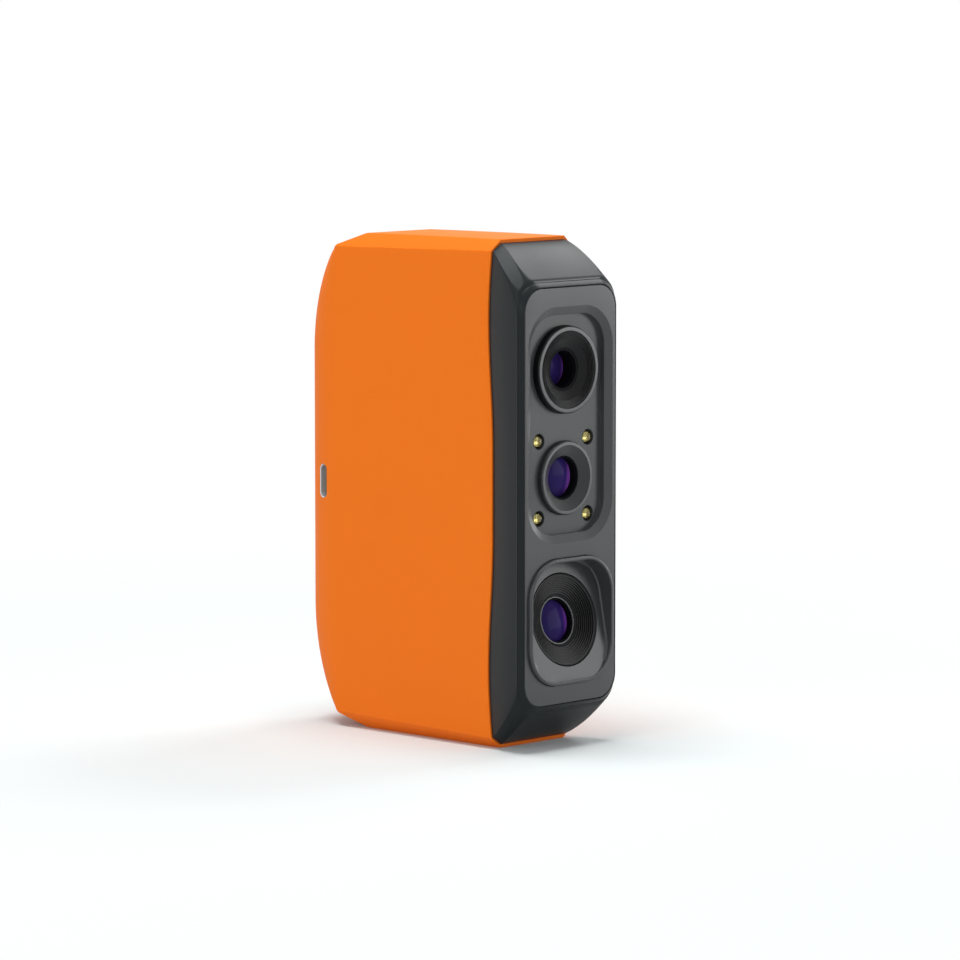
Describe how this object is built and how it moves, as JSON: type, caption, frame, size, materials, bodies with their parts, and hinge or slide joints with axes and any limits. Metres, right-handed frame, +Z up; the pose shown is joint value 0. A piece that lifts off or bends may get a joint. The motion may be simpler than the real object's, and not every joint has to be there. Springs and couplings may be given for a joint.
{
  "type": "handheld scanner",
  "caption": "Slim handheld 3-D scanner: orange sleeve, flared grey bezel, pattern projector, colour camera with fill lights, hooded tilted depth camera, rear scan button, tripod socket.",
  "frame": {"origin": "the mouth of the tripod socket, in the middle of the flat bottom face", "axes": "+Z up through the body, -Y is the way the lenses look, +X to the right when looking along +Y at the lenses (the USB port is on the -X side)"},
  "size_m": [0.0352, 0.0856, 0.125],
  "materials": {
    "orange_shell": "fine satin orange moulding",
    "bezel_grey": "satin dark grey moulding",
    "plate_grey": "satin mid grey moulding",
    "hood_grey": "satin mid grey moulding",
    "tape_black": "foam adhesive",
    "silicone_grey": "soft silicone",
    "brass_insert": "machined brass",
    "ring_black": "matte black, stepped against glare",
    "barrel_black": "black anodised",
    "coated_glass": "violet coated glass",
    "clear_glass": "clear glass",
    "slide_glass": "glass with an etched pattern",
    "cast_black": "black anodised casting",
    "holder_black": "matte black moulding",
    "sensor_dark": "ceramic sensor package",
    "emitter_yellow": "phosphor over a light emitter",
    "board_green": "solder mask on glass fibre board",
    "board_black": "black solder mask",
    "light_yellow": "clear dome over phosphor",
    "aluminium_bare": "bare machined aluminium",
    "aluminium_bench": "bead blasted aluminium",
    "chip_black": "moulded chip package",
    "pad_blue": "soft thermal pad",
    "connector_white": "moulded connector",
    "ribbon_amber": "polyimide ribbon",
    "port_steel": "plated steel shell",
    "switch_black": "moulded switch body",
    "plunger_grey": "moulded plunger",
    "button_grey": "soft-touch satin grey",
    "pipe_clear": "frosted clear acrylic",
    "screw_steel": "plated steel"
  },
  "bodies": {
    "scanner_body": {"bench_screws": "screw_steel", "bezel_screws": "screw_steel", "board_connectors": "connector_white", "board_screws": "screw_steel", "button_switch": "switch_black", "colour_barrel": "barrel_black", "colour_board": "board_green", "colour_holder": "holder_black", "colour_lens": "coated_glass", "colour_ribbon": "ribbon_amber", "colour_ring": "ring_black", "colour_sensor": "sensor_dark", "condenser_lens": "clear_glass", "depth_barrel": "barrel_black", "depth_board": "board_green", "depth_holder": "holder_black", "depth_lens": "coated_glass", "depth_ribbon": "ribbon_amber", "depth_ring": "ring_black", "depth_sensor": "sensor_dark", "depth_wedge": "aluminium_bare", "face_plate": "plate_grey", "fill_light_board": "board_black", "fill_lights": "light_yellow", "front_bezel": "bezel_grey", "heat_spreader": "aluminium_bare", "housing_sleeve": "orange_shell", "lens_hood": "hood_grey", "light_pipe": "pipe_clear", "main_board": "board_green", "memory_chips": "chip_black", "optical_bench": "aluminium_bench", "pattern_slide": "slide_glass", "plate_tape": "tape_black", "processor": "chip_black", "projector_barrel": "barrel_black", "projector_board": "board_green", "projector_emitter": "emitter_yellow", "projector_front_lens": "coated_glass", "projector_heatsink": "aluminium_bare", "projector_housing": "cast_black", "projector_ribbon": "ribbon_amber", "projector_ring": "ring_black", "seam_gasket": "silicone_grey", "status_led": "emitter_yellow", "thermal_pad": "pad_blue", "tripod_insert": "brass_insert", "usb_shell": "port_steel", "usb_tongue": "chip_black"},
    "button": {"scan_button": "button_grey", "switch_plunger": "plunger_grey"}
  },
  "joints": [
    {"name": "scan_button_press", "type": "slide", "parent": "scanner_body", "child": "button", "axis": [0, -1, 0], "range_m": [0, 0.0006], "stiffness_N_per_m": 2500}
  ]
}
